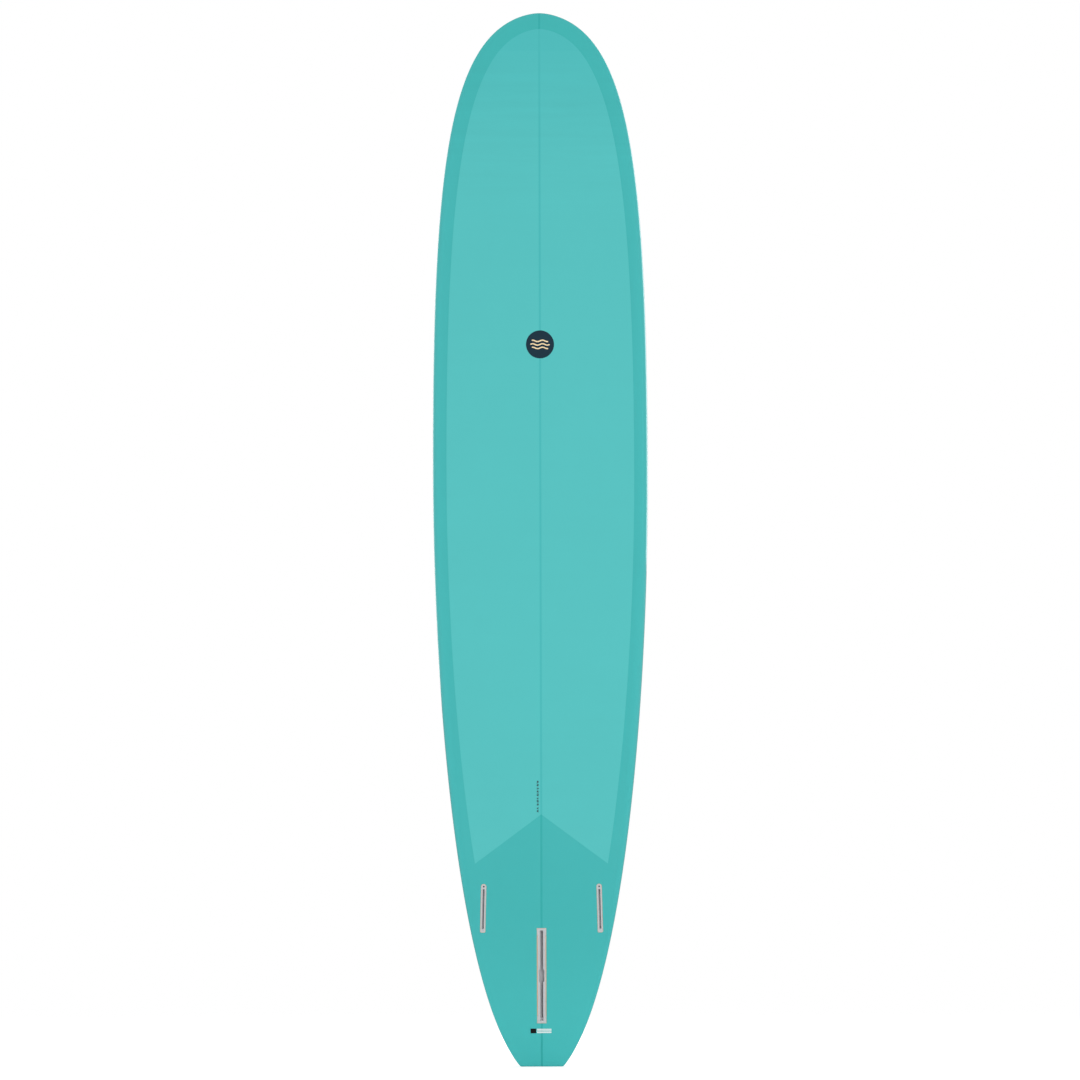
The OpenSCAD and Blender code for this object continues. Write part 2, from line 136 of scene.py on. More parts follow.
def rocker(z):
    if z > LOW_Z:
        return NOSE_ROCKER * ((z - LOW_Z) / (BOARD_L - LOW_Z)) ** ROCKER_POWER
    return TAIL_ROCKER * ((LOW_Z - z) / LOW_Z) ** ROCKER_POWER


def foil(z):
    if z > THICK_Z:
        return BOARD_T - (BOARD_T - NOSE_T) * ((z - THICK_Z) / (BOARD_L - THICK_Z)) ** NOSE_FOIL_POWER
    return BOARD_T - (BOARD_T - TAIL_T) * ((THICK_Z - z) / THICK_Z) ** TAIL_FOIL_POWER


def rail_h(z):
    return lerp(*RAIL_SHARE, share(z, RAIL_FULL_Z)) * foil(z)


def rail_flat(z):
    return RAIL_FLAT_H + (TAIL_FACE_H - RAIL_FLAT_H) * (1 - share(z, TAIL_FACE_FADE_Z)) ** 2


def bottom_round(z):
    return lerp(*BOTTOM_ROUND, share(z, RAIL_FULL_Z))


def deck_round(z):
    nose = max(0.0, (z - WIDE_Z) / (BOARD_L - WIDE_Z))
    return lerp(*DECK_ROUND, share(z, ROUND_FULL_Z)) - DECK_ROUND_NOSE_LOSS * nose**2


def lap_width(z):
    return lerp(*LAP, share(abs(z - LAP_EVEN_Z), LAP_SPREAD) ** 2)


def bottom_y(z):
    return rocker(z) - TAIL_ROCKER - RAIL_SHARE[0] * TAIL_T - TAIL_FACE_H / 2


def thickness(x, z):
    return foil(z) - x * x / (2 * CROWN_R)


def line_end_z(p):
    """Height at which the line from outline point p meets the stringer."""
    x, z = p
    if z < WIDE_Z:
        return z + (TAIL_FAN + TAIL_FAN_LEAN * x) * (1 - z / WIDE_Z) ** 2
    return z - NOSE_FAN * ((z - WIDE_Z) / (BOARD_L - WIDE_Z)) ** NOSE_FAN_POWER


class Station:
    """A point of the outline in plan, with its outward direction and its line towards the stringer."""

    def __init__(self, point, out):
        self.point = point
        self.z = point.y
        line = Vector((HALF_STRINGER, line_end_z(point))) - point
        self.length = line.length
        self.inward = line.normalized()
        self.slant = -self.inward.dot(out)

    def along(self, d):
        return self.point + self.inward * (d / self.slant)

    def toward_stringer(self, d, t):
        return self.along(d).lerp(self.point + self.inward * self.length, t)

    def bottom(self, u, depth):
        """u runs over the rail's round to 1, over the lap's flat to 2, and to the stringer at 3."""
        turn = math.pi / 2 * min(1.0, u)
        w = bottom_round(self.z) - depth
        rail = rail_h(self.z)
        lap = lap_width(self.z)
        if u <= 1:
            p = self.along(depth + w * (1 - math.cos(turn)))
        elif u <= 2:
            p = self.along(lerp(depth + w, lap, u - 1))
        else:
            p = self.toward_stringer(lap, u - 2)
        return Vector((p.x, bottom_y(p.y) + rail - (rail - depth) * math.sin(turn), p.y))

    def deck(self, u, depth):
        """u runs over the rail's round to 1, and to the stringer at 2, never above the CAD's top facet."""
        turn = math.pi / 2 * min(1.0, u)
        w = deck_round(self.z) - depth
        rail = rail_h(self.z) + rail_flat(self.z)
        if u <= 1:
            p = self.along(depth + w * (1 - math.cos(turn)))
        else:
            p = self.toward_stringer(depth + w, u - 1)
        rise = thickness(p.x, p.y) - depth - rail
        y = bottom_y(p.y) + rail + rise * math.sin(turn)
        return Vector((p.x, min(y, CAD_HIGH.y - depth), p.y))


def curve_station(points, t):
    """The station at t on the curve that its points pull along."""
    while len(points) > 2:
        points = [a.lerp(b, t) for a, b in zip(points, points[1:])]
    p = points[0].lerp(points[1], t)
    heading = (points[1] - points[0]).normalized()
    return Station(Vector((max(p.x, HALF_STRINGER), p.y)), Vector((heading.y, -heading.x)))


def outline_stations():
    """Stations up the right half of the outline, from the middle of the tail end to the nose tip."""
    widest = Vector((HALF_W, WIDE_Z))
    tail = [Vector((HALF_TAIL, 0)), TAIL_PULL, widest - Vector((0, TAIL_REACH)), widest]
    tip = Vector((0, BOARD_L))
    nose = [widest, widest + Vector((0, NOSE_REACH)), NOSE_PULL, tip + Vector((NOSE_ROUND, 0)), tip]
    turn = math.atan2(TAIL_PULL.y, TAIL_PULL.x - HALF_TAIL)
    centre = Vector((HALF_TAIL - CORNER_R * math.tan(turn / 2), CORNER_R))
    found = []
    for k in range(END_N + 1):
        found.append(Station(Vector((lerp(HALF_STRINGER, centre.x, k / END_N), 0)), Vector((0, -1))))
    for k in range(1, CORNER_N + 1):
        a = turn * k / CORNER_N - math.pi / 2
        out = Vector((math.cos(a), math.sin(a)))
        found.append(Station(centre + CORNER_R * out, out))
    found += [curve_station(tail, k / TAIL_N) for k in range(1, TAIL_N + 1)]
    for k in range(1, NOSE_N + 1):
        t = k / NOSE_N
        found.append(curve_station(nose, lerp(t, t * t, NOSE_CROWDING)))
    return found


STATIONS = outline_stations()


def steps(start, end, count):
    return [lerp(start, end, k / count) for k in range(count + 1)]


# ---------------------------------------------------------------- mesh helpers

SHARP_ANGLE = math.radians(30)      # a steeper edge than this is shaded as an edge
BEVEL_ANGLE = math.radians(35)      # and one steeper than this is eased on a refined node
FLAT_ANGLE = math.radians(1)        # a refined node's facets closer than this are joined
HULL_FLAT_ANGLE = math.radians(0.5)
NODE_WELD = 0.005 * MM
HULL_WELD = 0.01 * MM
POCKET_REACH = 0.006                # how far a pocket runs out through the surface


def new_piece(name, bm, materials, body="board"):
    """Turns a bmesh into a smooth-shaded piece, which rides on a body if one is given."""
    bmesh.ops.recalc_face_normals(bm, faces=bm.faces)
    mesh = bpy.data.meshes.new(name)
    bm.to_mesh(mesh)
    bm.free()
    for m in materials:
        mesh.materials.append(m)
    mesh.shade_smooth()
    mesh.set_sharp_from_angle(angle=SHARP_ANGLE)
    piece = bpy.data.objects.new(name, mesh)
    bpy.context.scene.collection.objects.link(piece)
    if body:
        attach(piece, body)
    return piece


def shell_mesh(path, outer, inner, first_panel=None):
    """A closed layer round the whole board. path lists columns from the layer's open edge to the stringer.

    A column is (station method, u). outer and inner give a column's depth. Faces from first_panel on take the
    panel's colour, and those before it the band's.
    """
    bm = bmesh.new()
    n = len(path)
    last = len(STATIONS) - 1
    around = 2 * len(STATIONS)

    def ring(depth_of):
        right = [[getattr(s, side)(u, depth_of(side, u)) for side, u in path] for s in STATIONS]
        left = [[Vector((-p.x, p.y, p.z)) for p in row] for row in reversed(right)]
        return [[bm.verts.new(p) for p in row] for row in right + left]

    skins = [ring(outer), ring(inner)]
    for skin in skins:
        for i in range(around):
            here, beyond = skin[i], skin[(i + 1) % around]
            for j in range(n - 1):
                face = bm.faces.new((here[j], here[j + 1], beyond[j + 1], beyond[j]))
                face.material_index = int(first_panel is not None and j >= first_panel)
        for i in range(last):
            left = around - 1 - i
            face = bm.faces.new((skin[i][-1], skin[left][-1], skin[left - 1][-1], skin[i + 1][-1]))
            face.material_index = int(first_panel is not None)
    for i in range(around):
        k = (i + 1) % around
        bm.faces.new((skins[0][i][0], skins[0][k][0], skins[1][k][0], skins[1][i][0]))
    return bm


def prism(outline, low_y, high_y):
    """A closed prism whose outline is given as (x, z) points."""
    bm = bmesh.new()
    ends = [[bm.verts.new((x, y, z)) for x, z in outline] for y in (low_y, high_y)]
    for end in ends:
        bm.faces.new(end)
    for k in range(len(outline)):
        after = (k + 1) % len(outline)
        bm.faces.new((ends[0][k], ends[0][after], ends[1][after], ends[1][k]))
    return bm


def fill_rings(bm, middle, rings):
    """Fills closed rings of vertices, from the vertex in their middle outward."""
    around = len(rings[0])
    for k in range(around):
        after = (k + 1) % around
        bm.faces.new((middle, rings[0][k], rings[0][after]))
        for inner, outer in zip(rings, rings[1:]):
            bm.faces.new((inner[k], outer[k], outer[after], inner[after]))


def carve(piece, cutters, operation="DIFFERENCE"):
    """Cuts a piece with closed meshes, or keeps what it shares with them, and applies the result."""
    for bm in cutters:
        tool = new_piece("cutter", bm, [], body=None)
        cut = piece.modifiers.new("cut", "BOOLEAN")
        cut.operation = operation
        cut.solver = "EXACT"
        cut.object = tool
        graph = bpy.context.evaluated_depsgraph_get()
        mesh = bpy.data.meshes.new_from_object(piece.evaluated_get(graph))
        piece.modifiers.clear()
        piece.data = mesh
        bpy.data.objects.remove(tool)
    piece.data.shade_smooth()
    piece.data.set_sharp_from_angle(angle=SHARP_ANGLE)


def pocket(node, mount):
    """The pocket that a node fills, run out through the surface along its mount's axis."""
    reach = Vector(MOUNTS[mount]["axis"]) * POCKET_REACH
    bm = bmesh.new()
    for v in NODES[node].data.vertices:
        bm.verts.new(v.co)
        bm.verts.new(v.co + reach)
    bmesh.ops.remove_doubles(bm, verts=bm.verts, dist=HULL_WELD)
    hull = bmesh.ops.convex_hull(bm, input=bm.verts)
    loose = {e for e in hull["geom_interior"] + hull["geom_unused"] if isinstance(e, bmesh.types.BMVert)}
    bmesh.ops.delete(bm, geom=list(loose), context="VERTS")
    bmesh.ops.dissolve_limit(bm, angle_limit=HULL_FLAT_ANGLE, verts=bm.verts, edges=bm.edges)
    return bm


def refined(node, material, bevel, body="board"):
    """A clean copy of a CAD node with its sharp edges eased, which stands for the node."""
    bm = bmesh.new()
    bm.from_mesh(NODES[node].data)
    bmesh.ops.remove_doubles(bm, verts=bm.verts, dist=NODE_WELD)
    bmesh.ops.dissolve_limit(bm, angle_limit=FLAT_ANGLE, verts=bm.verts, edges=bm.edges)
    for face in bm.faces:
        face.material_index = 0
    edges = [e for e in bm.edges if e.is_manifold and e.calc_face_angle() > BEVEL_ANGLE]
    bmesh.ops.bevel(bm, geom=edges, offset=bevel, segments=2, profile=0.5, affect="EDGES", clamp_overlap=True)
    piece = new_piece(node + "_piece", bm, [material], body)
    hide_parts(node)
    return piece


# ---------------------------------------------------------------- material helpers

AMBIENT = 0.45                      # light from all round
GLOSS_AMBIENT = 0.35                # what the gloss mirrors of it
COAT_SHARE = 0.04                   # of the light that meets it straight on, what a clear coat reflects
GLOSS = GLOSS_AMBIENT * COAT_SHARE  # what the coat adds to a surface seen straight on


def srgb(r, g, b):
    """A screen colour, of values from 11 to 255, as a shader colour."""
    return tuple(((c / 255 + 0.055) / 1.055) ** 2.4 for c in (r, g, b)) + (1.0,)


def under_gloss(r, g, b):
    """The colour that looks like this one on a screen once the gloss over it has added its reflection."""
    return tuple(max(0.002, c - GLOSS) for c in srgb(r, g, b)[:3]) + (1.0,)


class Material:
    """A Principled material, and short calls for the nodes that feed it."""

    def __init__(self, name, **sockets):
        self.material = bpy.data.materials.new(name)
        self.material.use_nodes = True
        self.tree = self.material.node_tree
        self.shader = self.tree.nodes["Principled BSDF"]
        for socket, value in sockets.items():
            self.shader.inputs[socket.replace("_", " ")].default_value = value
        self.place = self.add("ShaderNodeTexCoord").outputs["Object"]

    def add(self, kind, settings=None, **inputs):
        node = self.tree.nodes.new(kind)
        for key, value in (settings or {}).items():
            setattr(node, key, value)
        for key, value in inputs.items():
            self.feed(node.inputs[key.replace("_", " ")], value)
        return node

    def feed(self, socket, value):
        if isinstance(value, bpy.types.NodeSocket):
            self.tree.links.new(value, socket)
        else:
            socket.default_value = value

    def calc(self, operation, a, b=0.0, c=0.0):
        node = self.tree.nodes.new("ShaderNodeMath")
        node.operation = operation
        for socket, value in zip(node.inputs, (a, b, c)):
            self.feed(socket, value)
        return node.outputs[0]

    def axes(self):
        split = self.add("ShaderNodeSeparateXYZ", Vector=self.place)
        return split.outputs["X"], split.outputs["Y"], split.outputs["Z"]

    def stretched(self, x, y, z):
        return self.add("ShaderNodeMapping", Vector=self.place, Scale=(x, y, z)).outputs[0]

    def noise(self, scale, detail=2.0, place=None, roughness=0.5):
        inputs = {"Vector": place or self.place, "Scale": scale, "Detail": detail, "Roughness": roughness}
        return self.add("ShaderNodeTexNoise", **inputs).outputs[0]

    def swing(self, value, amount):
        """1 plus or minus amount, as value goes from 0 to 1."""
        return self.calc("MULTIPLY_ADD", value, 2 * amount, 1 - amount)

    def ramp(self, value, low, high, out_low=0.0, out_high=1.0):
        node = self.add(
            "ShaderNodeMapRange", {"interpolation_type": "SMOOTHSTEP"},
            Value=value, From_Min=low, From_Max=high, To_Min=out_low, To_Max=out_high,
        )
        return node.outputs[0]

    def blend(self, factor, a, b):
        node = self.tree.nodes.new("ShaderNodeMix")
        node.data_type = "RGBA"
        for socket, value in ((node.inputs[0], factor), (node.inputs[6], a), (node.inputs[7], b)):
            self.feed(socket, value)
        return node.outputs[2]

    def scaled(self, colour, *factors):
        """A colour times one factor or more."""
        factor = factors[0]
        for other in factors[1:]:
            factor = self.calc("MULTIPLY", factor, other)
        node = self.tree.nodes.new("ShaderNodeVectorMath")
        node.operation = "SCALE"
        self.feed(node.inputs[0], colour if isinstance(colour, bpy.types.NodeSocket) else colour[:3])
        self.feed(node.inputs["Scale"], factor)
        return node.outputs[0]

    def set(self, socket, value):
        self.feed(self.shader.inputs[socket], value)

    def bump(self, height, distance, strength, sockets=("Normal",)):
        node = self.add("ShaderNodeBump", Height=height, Distance=distance, Strength=strength)
        for socket in sockets:
            self.set(socket, node.outputs[0])


WEAVE_PITCH = 1.4 * MM
COAT_WAVE = (0.12 * MM, 0.6)        # depth and strength of the waves that polishing leaves
LINE_BLUR = (1.8, 1.0)              # the stringer's line fades out and in, in shares of its half width

# Changes along the board, as (the height where one starts, the height where it is full): darker towards the
# nose, and painted light at the tail end
NOSE_SHADE_Z, NOSE_SHADE = (2.45, 2.84), 0.8
NOSE_SEAM_Z, NOSE_SEAM_SHADE = (2.790, 2.794), 0.2
NOSE_STREAKS_LOW_Z = (2.30, 2.55)
NOSE_STREAKS_HIGH_Z = (2.84, 2.72)
# Painted light: the tint turns lighter towards the tail end, to make up for the shade that the down-turned
# tail gets
TAIL_PAINTED_LIGHT_Z = (0.45, 0.0)


def weave(m):
    """The crossed threads of glass cloth, from 0 to 1."""
    x, _, z = m.axes()
    threads = [m.calc("SINE", m.calc("MULTIPLY", axis, 2 * math.pi / WEAVE_PITCH)) for axis in (x, z)]
    return m.calc("MULTIPLY_ADD", m.calc("MULTIPLY", *threads), 0.5, 0.5)


def laminate(name, colour, nose_colour, tail_painted_light, line_colour):
    """Tinted resin in glass cloth, under a polished coat. The stringer shows through it as a line."""
    m = Material(name, Coat_Weight=1.0, Coat_Roughness=0.04, Coat_IOR=1.5, Specular_IOR_Level=0.05)
    x, _, z = m.axes()
    # Darker towards the nose, and a thin step darker still near the tip
    seam = m.ramp(z, *NOSE_SEAM_Z, 0.0, NOSE_SEAM_SHADE)
    tint = m.blend(m.calc("ADD", m.ramp(z, *NOSE_SHADE_Z, 0.0, NOSE_SHADE), seam), colour, nose_colour)
    # Painted light: a lighter tint at the tail end stands in for light that the tail doesn't get
    tint = m.blend(m.ramp(z, *TAIL_PAINTED_LIGHT_Z), tint, tail_painted_light)
    line = m.ramp(m.calc("ABSOLUTE", x), *(HALF_STRINGER * blur for blur in LINE_BLUR))
    tint = m.blend(m.calc("MULTIPLY", line, m.swing(m.noise(30.0, 2.0), 0.15)), tint, line_colour)
    clouds = m.swing(m.noise(5.0, 3.0), 0.022)
    streaks = m.noise(9.0, 3.0, m.stretched(0.25, 1.0, 4.5), 0.6)
    where = m.calc("MULTIPLY", m.ramp(z, *NOSE_STREAKS_LOW_Z), m.ramp(z, *NOSE_STREAKS_HIGH_Z))
    depth = m.calc("MULTIPLY_ADD", where, 0.10, 0.016)
    mottle = m.calc("MULTIPLY_ADD", m.calc("SUBTRACT", streaks, 0.5), depth, 1.0)
    cloth = m.swing(weave(m), 0.020)
    m.set("Base Color", m.scaled(tint, clouds, mottle, cloth))
    m.set("Roughness", m.calc("MULTIPLY_ADD", m.noise(60.0, 3.0), 0.14, 0.31))
    m.bump(m.noise(22.0, 2.0), *COAT_WAVE, ("Normal", "Coat Normal"))
    return m.material


def moulded_plastic():
    """Light grey moulded plastic, its face sanded flush with the glass."""
    m = Material("moulded_plastic", Specular_IOR_Level=0.4, Coat_Weight=0.15, Coat_Roughness=0.25)
    speckle = m.swing(m.noise(900.0, 3.0), 0.035)
    cloud = m.swing(m.noise(40.0, 3.0), 0.030)
    scratches = m.noise(260.0, 4.0, m.stretched(7.0, 7.0, 0.6), 0.6)
    m.set("Base Color", m.scaled(srgb(196, 196, 199), speckle, cloud, m.swing(scratches, 0.03)))
    m.set("Roughness", m.calc("MULTIPLY_ADD", scratches, 0.25, 0.35))
    m.bump(scratches, 0.05 * MM, 0.5)
    return m.material


def cast_resin():
    """Cured amber casting resin, with small bubbles."""
    m = Material("cast_resin", Roughness=0.25, Coat_Weight=0.7, Coat_Roughness=0.06)
    depth = m.noise(120.0, 3.0)
    bubbles = m.add("ShaderNodeTexVoronoi", Vector=m.place, Scale=700.0).outputs["Distance"]
    spots = m.ramp(bubbles, 0.0, 0.25, 1.12, 1.0)
    tint = m.blend(depth, srgb(220, 154, 98), srgb(234, 178, 122))
    m.set("Base Color", m.scaled(tint, spots))
    m.bump(depth, 0.05 * MM, 0.5)
    return m.material


def stainless():
    """Turned stainless steel, with fine tool marks."""
    m = Material("stainless", Metallic=1.0, Roughness=0.3)
    marks = m.noise(2500.0, 2.0, m.stretched(1.0, 0.15, 1.0), 0.6)
    tarnish = m.noise(350.0, 3.0)
    tint = m.blend(tarnish, (0.30, 0.30, 0.31, 1), (0.44, 0.45, 0.46, 1))
    m.set("Base Color", m.scaled(tint, m.swing(marks, 0.08)))
    m.set("Roughness", m.calc("MULTIPLY_ADD", marks, 0.25, 0.2))
    m.bump(marks, 0.02 * MM, 0.5)
    return m.material


def print_ink(name, colour, grain=0.06):
    """Ink printed on a decal under the gloss."""
    m = Material(name, Roughness=0.4, Coat_Weight=1.0, Coat_Roughness=0.04, Specular_IOR_Level=0.05)
    dots = m.swing(m.noise(1400.0, 2.0), grain)
    wash = m.swing(m.noise(45.0, 2.0), grain / 2)
    m.set("Base Color", m.scaled(colour, dots, wash))
    m.bump(m.noise(22.0, 2.0), *COAT_WAVE, ("Coat Normal",))
    return m.material


def foam():
    """Shaped white foam with fine open cells."""
    m = Material("blank_foam", Roughness=0.85, Specular_IOR_Level=0.2)
    cells = m.add("ShaderNodeTexVoronoi", Vector=m.place, Scale=900.0).outputs["Distance"]
    shading = m.swing(m.noise(12.0, 3.0), 0.02)
    m.set("Base Color", m.scaled(srgb(246, 243, 233), m.swing(cells, 0.05), shading))
    m.bump(cells, 0.3 * MM, 0.7)
    return m.material


def wood():
    """Straight-grained stringer wood, its grain along the board."""
    m = Material("stringer_wood", Roughness=0.6, Specular_IOR_Level=0.3)
    grain = m.noise(160.0, 5.0, m.stretched(6.0, 2.0, 0.06), 0.65)
    tint = m.blend(m.ramp(grain, 0.3, 0.7), srgb(168, 126, 82), srgb(212, 176, 128))
    m.set("Base Color", m.scaled(tint, m.swing(m.noise(9.0, 2.0), 0.06)))
    m.bump(grain, 0.2 * MM, 0.6)
    return m.material


def clear_cloth():
    """Glass cloth in clear resin, white by reflection from its threads."""
    m = Material("clear_cloth", Roughness=0.4, Coat_Weight=0.5, Coat_Roughness=0.1)
    cloud = m.swing(m.noise(15.0, 2.0), 0.03)
    m.set("Base Color", m.scaled(srgb(222, 232, 226), m.swing(weave(m), 0.07), cloud))
    m.bump(weave(m), 0.06 * MM, 0.6)
    return m.material


def graphite():
    """Pencil on the blank, seen through the glass."""
    m = Material("graphite", Roughness=0.5, Coat_Weight=1.0, Coat_Roughness=0.04)
    strength = m.noise(1800.0, 3.0, roughness=0.7)
    m.set("Base Color", m.blend(m.ramp(strength, 0.3, 0.75), srgb(18, 30, 36), srgb(38, 66, 72)))
    return m.material


# The tail colours are painted light. They are lighter than the glass's own tint, to make up for the shade at
# the tail end
PANEL = laminate(
    "panel_tint",
    colour=under_gloss(90, 195, 194),
    nose_colour=under_gloss(82, 190, 190),
    tail_painted_light=under_gloss(93, 203, 201),
    line_colour=under_gloss(79, 187, 187),
)
BAND = laminate(
    "band_tint",
    colour=under_gloss(74, 184, 183),
    nose_colour=under_gloss(71, 183, 181),
    tail_painted_light=under_gloss(78, 193, 192),
    line_colour=under_gloss(62, 175, 173),
)
PLASTIC = moulded_plastic()
RESIN = cast_resin()
STEEL = stainless()
NAVY = print_ink("badge_navy", under_gloss(35, 55, 68))
CREAM = print_ink("badge_cream", under_gloss(250, 225, 180), 0.03)
INK = print_ink("strip_ink", under_gloss(20, 26, 30))
WHITE = print_ink("strip_white", under_gloss(240, 244, 244), 0.02)
PENCIL = graphite()
FOAM = foam()
WOOD = wood()
CLOTH = clear_cloth()


# ---------------------------------------------------------------- skins

SKIN_COLOURS = [BAND, PANEL]
LAP_EDGE_U = 1.985                  # the lap ends here, and the step down to the panel a little further in
STEP_FOOT_U = 1.997


def bottom_pockets():
    """Cutters for the three fin boxes and the resin round them, the centre one first."""
    return [
        pocket("centre_box_resin", "centre_fin_slot"),
        pocket("side_box_resin_right", "side_fin_slot_right"),
        pocket("side_box_resin_left", "side_fin_slot_left"),
    ]


def bottom_skin():
    """The bottom's tinted glass: the panel at the surface, its rails, and its lap under the deck glass."""
    path = [("deck", u) for u in steps(1, 0, DECK_ROUND_N)]
    path += [("bottom", u) for u in steps(0, 1, BOTTOM_ROUND_N)]
    path += [("bottom", u) for u in steps(1, LAP_EDGE_U, LAP_N)[1:]]
    first_panel = len(path)
    path += [("bottom", u) for u in [STEP_FOOT_U] + steps(2, 3, PANEL_N)]

    def outer(side, u):
        return STEP if side == "bottom" and u >= STEP_FOOT_U else PLY

    bm = shell_mesh(path, outer, lambda side, u: 2 * PLY, first_panel)
    piece = new_piece("bottom_skin", bm, SKIN_COLOURS)
    carve(piece, bottom_pockets())
    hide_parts("bottom_glass")


def deck_skin():
    """The deck's tinted glass, which wraps both rails and laps onto the bottom."""
    path = [("bottom", u) for u in steps(2, 1, LAP_N)[:-1]]
    path += [("bottom", u) for u in steps(1, 0, BOTTOM_ROUND_N)]
    path += [("deck", u) for u in steps(0, 1, DECK_ROUND_N)]
    first_panel = len(path) - 1
    path += [("deck", u) for u in steps(1, 2, DECK_N)[1:]]
    bm = shell_mesh(path, lambda side, u: 0.0, lambda side, u: PLY, first_panel)
    piece = new_piece("deck_skin", bm, SKIN_COLOURS)
    carve(piece, bottom_pockets()[1:] + [pocket("leash_plug_resin", "leash_bar")])
    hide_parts("deck_glass")


def tail_patch():
    """The second tinted layer under the fins, with its V front, level with the lap."""
    path = [("bottom", u) for u in steps(2, 3, PANEL_N)]
    bm = shell_mesh(path, lambda side, u: 0.0, lambda side, u: STEP)
    piece = new_piece("tail_patch_skin", bm, SKIN_COLOURS)
    shoulder = PATCH_APEX_Z - PATCH_FALL * HALF_W
    right = [(HALF_W, shoulder), (HALF_W, -PATCH_SPARE)]
    plan = [(0, PATCH_APEX_Z)] + right + [(-x, z) for x, z in reversed(right)]
    carve(piece, [prism(plan, CAD_LOW.y - PATCH_SPARE, CAD_HIGH.y + PATCH_SPARE)], "INTERSECT")
    carve(piece, bottom_pockets())
    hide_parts("tail_patch")


# ---------------------------------------------------------------- prints and pencil marks on the bottom

# The badge's disc, and its wave mark in shares of the disc's radius. Depths are (top, bottom) below the lap.
DISC_DEPTHS = (0.07 * MM, 0.3 * MM)
DISC_AROUND, DISC_RINGS = 96, 7
WAVE_DEPTHS = (0.04 * MM, 0.2 * MM)
WAVE_HALF_LENGTHS = (0.58, 0.68, 0.58)
WAVE_GAP = 0.25
WAVE_HEIGHT = 0.05
WAVE_RATE = 9                       # radians of the wave in one radius
WAVE_W = 0.085
WAVE_N = 48

# The pencil strokes, in clumps of two or three
PENCIL_TOP = 0.07 * MM
PENCIL_TOP_STEP = 0.01 * MM         # each further stroke lies this much higher, so that none shares a face
PENCIL_BOTTOM = 0.2 * MM
CLUMPS = 10
CLUMP_START = 0.3                   # in shares of the height that a clump has
MARKS_OVERRUN = 5 * MM              # past each end of the CAD's marks
STROKE_W = 1.7 * MM
STROKE_GAP = 2.1 * MM
STROKE_REACH = (1.9 * MM, 3.0 * MM)
STROKE_LEAN = 1.2 * MM
STROKE_BOW = 0.8 * MM
STROKE_N = 6

# The printed strip near the tail end
STRIP_DROP = 21 * MM                # below the centre box's bed
STRIP_DEPTHS = (-0.05 * MM, 0.08 * MM)
BLOCK_X = (-31 * MM, -15 * MM)
BLOCK_H = 13 * MM
BLOCK_N = 4
STRIPE_X = (-13.5 * MM, 26.5 * MM)
STRIPE_GAP = 4.4 * MM
STRIPE_H = 2.9 * MM
STRIPE_N = 8


def ribbon(bm, points, width, top, bottom, material_index=0):
    """A flat stroke along (x, z) points, lying on the bottom between two depths."""
    sides = []
    for k, (x, z) in enumerate(points):
        before, after = points[max(k - 1, 0)], points[min(k + 1, len(points) - 1)]
        heading = Vector((after[0] - before[0], after[1] - before[1])).normalized() * width / 2
        pair = [(x - heading.y, z + heading.x), (x + heading.y, z - heading.x)]
        sides.append([bm.verts.new((px, bottom_y(pz) + d, pz)) for d in (top, bottom) for px, pz in pair])
    faces = []
    for a, b in zip(sides, sides[1:]):
        for c, d in ((0, 1), (1, 3), (3, 2), (2, 0)):
            faces.append(bm.faces.new((a[c], a[d], b[d], b[c])))
    for end in (sides[0], sides[-1]):
        faces.append(bm.faces.new((end[0], end[1], end[3], end[2])))
    for face in faces:
        face.material_index = material_index


def disc(bm, x, z, radius, top, bottom):
    """A flat disc lying on the bottom's curve between two depths."""
    rims = []
    for depth in (top, bottom):
        middle = bm.verts.new((x, bottom_y(z) + depth, z))
        rings = []
        for r in range(1, DISC_RINGS + 1):
            reach = radius * r / DISC_RINGS
            ring = []
            for k in range(DISC_AROUND):
                a = 2 * math.pi * k / DISC_AROUND
                px, pz = x + reach * math.cos(a), z + reach * math.sin(a)
                ring.append(bm.verts.new((px, bottom_y(pz) + depth, pz)))
            rings.append(ring)
        fill_rings(bm, middle, rings)
        rims.append(ring)
    for k in range(DISC_AROUND):
        after = (k + 1) % DISC_AROUND
        bm.faces.new((rims[0][k], rims[0][after], rims[1][after], rims[1][k]))


def badge():
    """The round printed badge, with a plain wave mark of three lines."""
    low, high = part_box("badge")
    x, z, radius = (low.x + high.x) / 2, (low.z + high.z) / 2, (high.x - low.x) / 2
    bm = bmesh.new()
    disc(bm, x, z, radius, *DISC_DEPTHS)
    piece = new_piece("badge_disc", bm, [NAVY])
    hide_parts("badge")
    bm = bmesh.new()
    for row, half in zip((-1, 0, 1), WAVE_HALF_LENGTHS):
        points = []
        for t in steps(-1, 1, WAVE_N):
            rise = row * WAVE_GAP + WAVE_HEIGHT * math.sin(WAVE_RATE * t * half)
            points.append((x + radius * half * t, z + radius * rise))
        ribbon(bm, points, radius * WAVE_W, *WAVE_DEPTHS)
    mark = new_piece("badge_waves", bm, [CREAM])


def pencil_marks():
    """A line of small pencil strokes up the side of the stringer, which spell nothing."""
    low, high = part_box("dimension_marks")
    chance = random.Random(7)
    bm = bmesh.new()
    middle = (low.x + high.x) / 2
    start, height = low.z - MARKS_OVERRUN, high.z - low.z + 2 * MARKS_OVERRUN
    for k in range(CLUMPS):
        z = start + height * (k + CLUMP_START) / CLUMPS
        for stroke in range(2 + (k % 3 != 1)):
            reach = lerp(*STROKE_REACH, chance.random())
            lean = lerp(-STROKE_LEAN, STROKE_LEAN, chance.random())
            bow = lerp(-STROKE_BOW, STROKE_BOW, chance.random())
            rise = stroke * STROKE_GAP
            points = []
            for t in steps(-1, 1, STROKE_N):
                points.append((middle + reach * t, z + rise + lean * t + bow * (1 - t * t)))
            ribbon(bm, points, STROKE_W, PENCIL_TOP - PENCIL_TOP_STEP * stroke, PENCIL_BOTTOM)
    piece = new_piece("pencil_strokes", bm, [PENCIL])
    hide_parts("dimension_marks")


